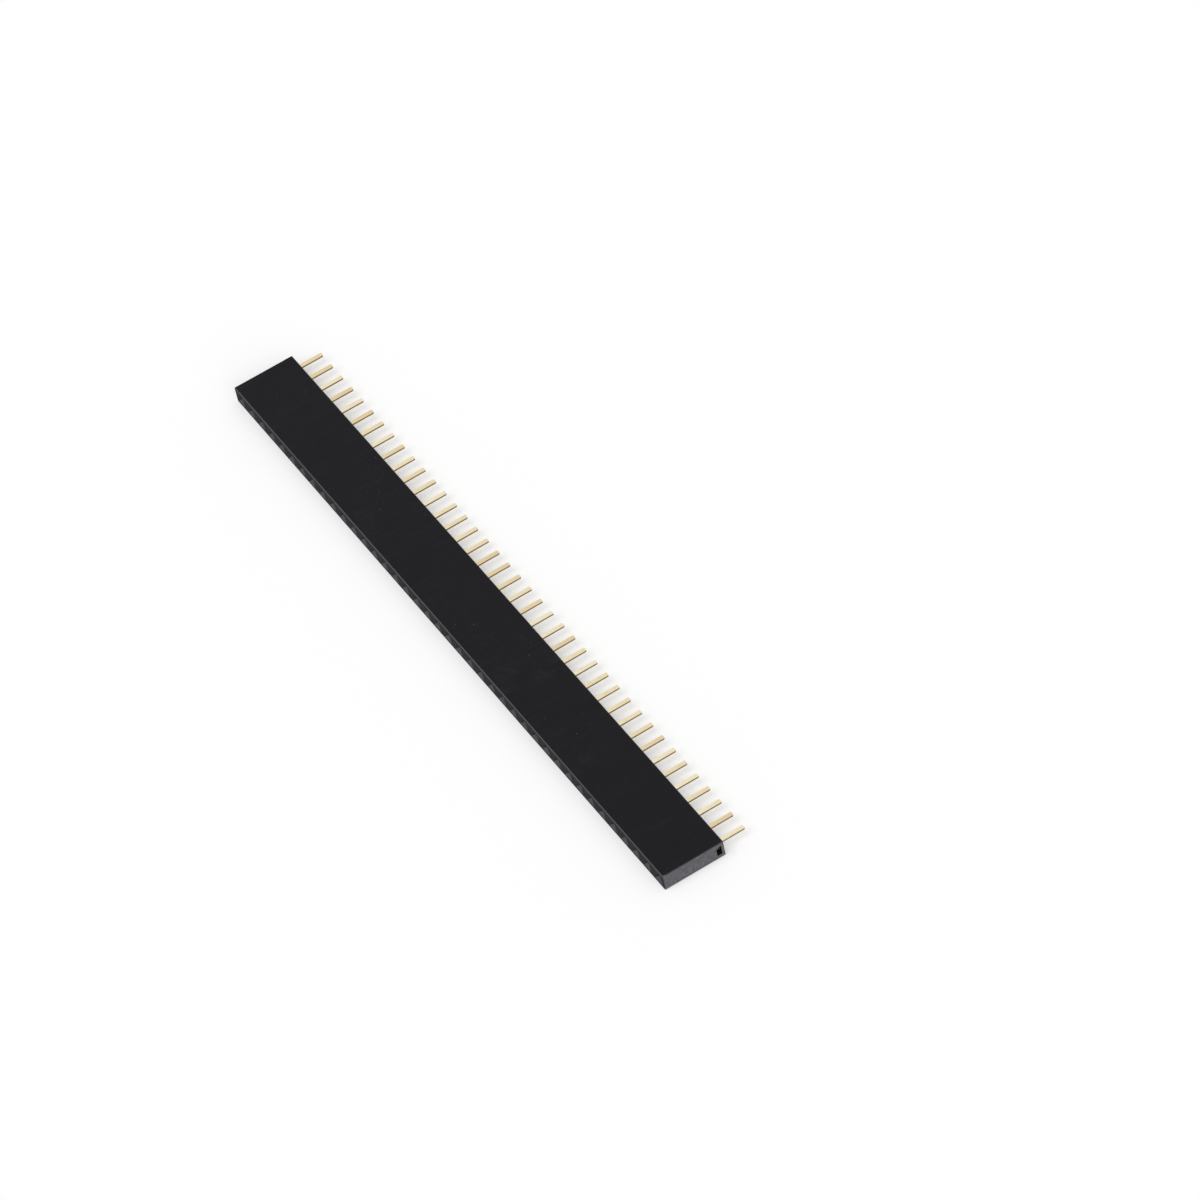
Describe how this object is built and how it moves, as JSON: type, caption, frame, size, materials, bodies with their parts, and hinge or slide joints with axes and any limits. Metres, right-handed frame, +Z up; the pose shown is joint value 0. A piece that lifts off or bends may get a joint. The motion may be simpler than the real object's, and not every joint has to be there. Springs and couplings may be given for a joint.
{
  "type": "female pin header strip",
  "caption": "Female pin header strip lying on its side: black moulded housing with square sockets, a folded spring contact in each, and flat gold-plated solder tails for a circuit board.",
  "frame": {"origin": "under the middle of the strip, on the surface that it lies on, halfway between the mating face and the tips of the solder tails", "axes": "+X along the row of sockets, +Y from the sockets towards the solder tails, +Z up through the thickness of the housing"},
  "size_m": [0.1016, 0.012, 0.0025],
  "materials": {
    "housing_plastic": "black glass-filled moulding with a satin skin, lightly scuffed",
    "contact_metal": "thin bright gold plating on spring bronze"
  },
  "bodies": {
    "root": {"housing": "housing_plastic", "contact_01": "contact_metal", "contact_02": "contact_metal", "contact_03": "contact_metal", "contact_04": "contact_metal", "contact_05": "contact_metal", "contact_06": "contact_metal", "contact_07": "contact_metal", "contact_08": "contact_metal", "contact_09": "contact_metal", "contact_10": "contact_metal", "contact_11": "contact_metal", "contact_12": "contact_metal", "contact_13": "contact_metal", "contact_14": "contact_metal", "contact_15": "contact_metal", "contact_16": "contact_metal", "contact_17": "contact_metal", "contact_18": "contact_metal", "contact_19": "contact_metal", "contact_20": "contact_metal", "contact_21": "contact_metal", "contact_22": "contact_metal", "contact_23": "contact_metal", "contact_24": "contact_metal", "contact_25": "contact_metal", "contact_26": "contact_metal", "contact_27": "contact_metal", "contact_28": "contact_metal", "contact_29": "contact_metal", "contact_30": "contact_metal", "contact_31": "contact_metal", "contact_32": "contact_metal", "contact_33": "contact_metal", "contact_34": "contact_metal", "contact_35": "contact_metal", "contact_36": "contact_metal", "contact_37": "contact_metal", "contact_38": "contact_metal", "contact_39": "contact_metal", "contact_40": "contact_metal"}
  },
  "joints": []
}
